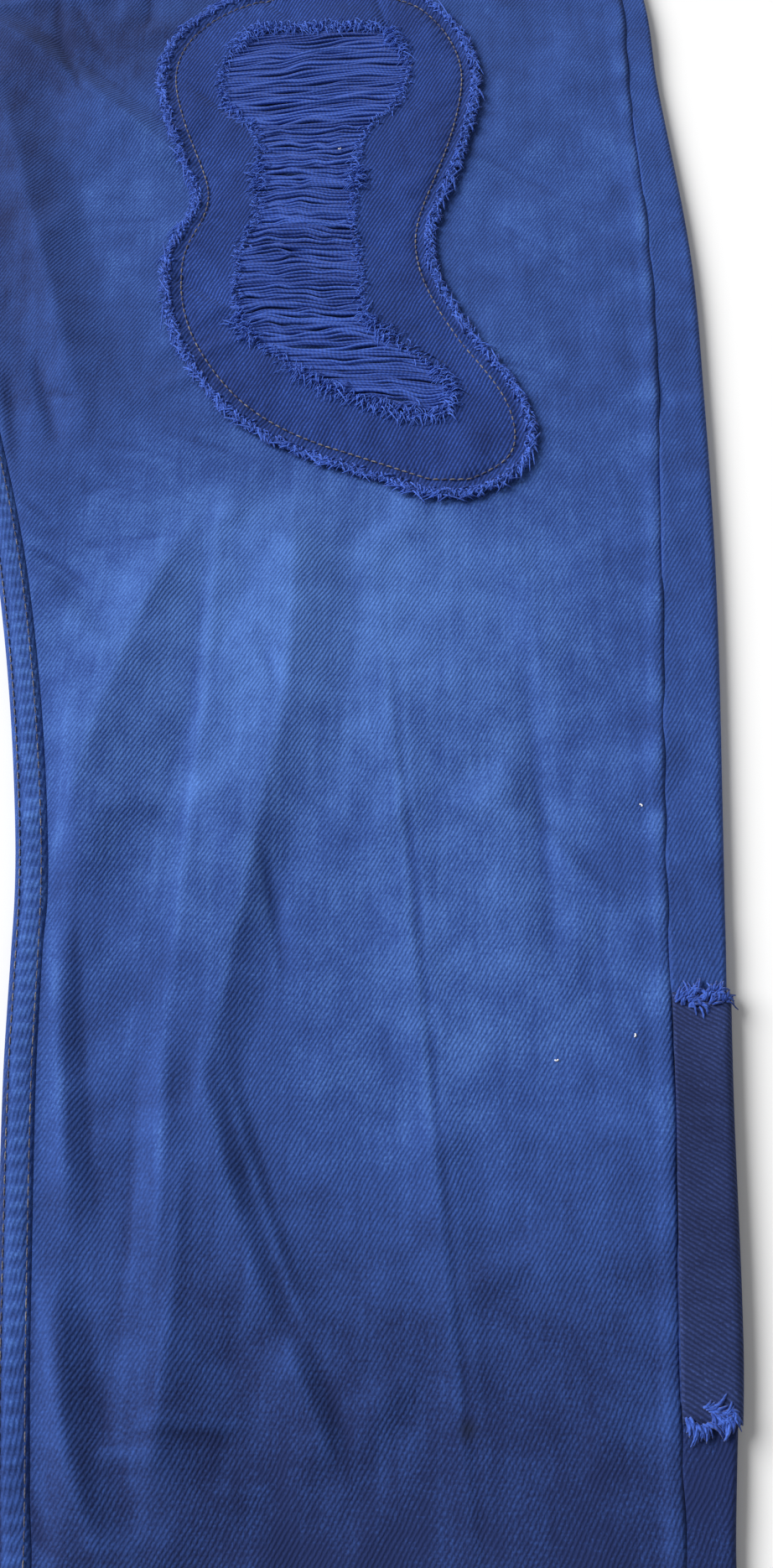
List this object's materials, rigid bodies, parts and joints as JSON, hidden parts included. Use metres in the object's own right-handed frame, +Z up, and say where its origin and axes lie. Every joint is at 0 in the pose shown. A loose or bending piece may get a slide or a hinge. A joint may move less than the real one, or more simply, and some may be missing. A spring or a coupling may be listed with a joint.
{
  "type": "ripped jeans",
  "caption": "Overdyed blue jeans laid flat, front up, with a frayed thigh patch ripped to its weft threads and a frayed patch on the back of the leg.",
  "frame": {"origin": "centre of the bottom of the box, on the surface that the jeans lie on", "axes": "+X towards the wearer's left leg, +Y from the hems to the waist, +Z up out of the front"},
  "size_m": [0.5885, 1.014, 0.0089],
  "materials": {
    "denim": "overdyed cotton twill, washed and worn, matt",
    "patch_denim": "darker cotton twill, matt",
    "back_patch_denim": "dark cotton twill, matt",
    "frayed_yarn": "loose fluffy cotton yarn, matt",
    "button_metal": "antiqued brass"
  },
  "bodies": {
    "root": {"front_left": "denim", "front_right": "denim", "back_left": "denim", "back_right": "denim", "yoke_left": "denim", "yoke_right": "denim", "waistband_back": "denim", "waistband_front_left": "denim", "waistband_front_right": "denim", "pocket_facing_left": "denim", "pocket_facing_right": "denim", "back_pocket_left": "denim", "back_pocket_right": "denim", "belt_loop_front_left": "denim", "belt_loop_front_right": "denim", "belt_loop_back_left": "denim", "belt_loop_back_right": "denim", "belt_loop_centre_back": "denim", "thigh_patch": "patch_denim", "back_patch": "back_patch_denim", "rip_threads": "frayed_yarn", "thigh_patch_fray": "frayed_yarn", "back_patch_fray_upper": "frayed_yarn", "back_patch_fray_lower": "frayed_yarn", "waist_button": "button_metal"}
  },
  "joints": []
}
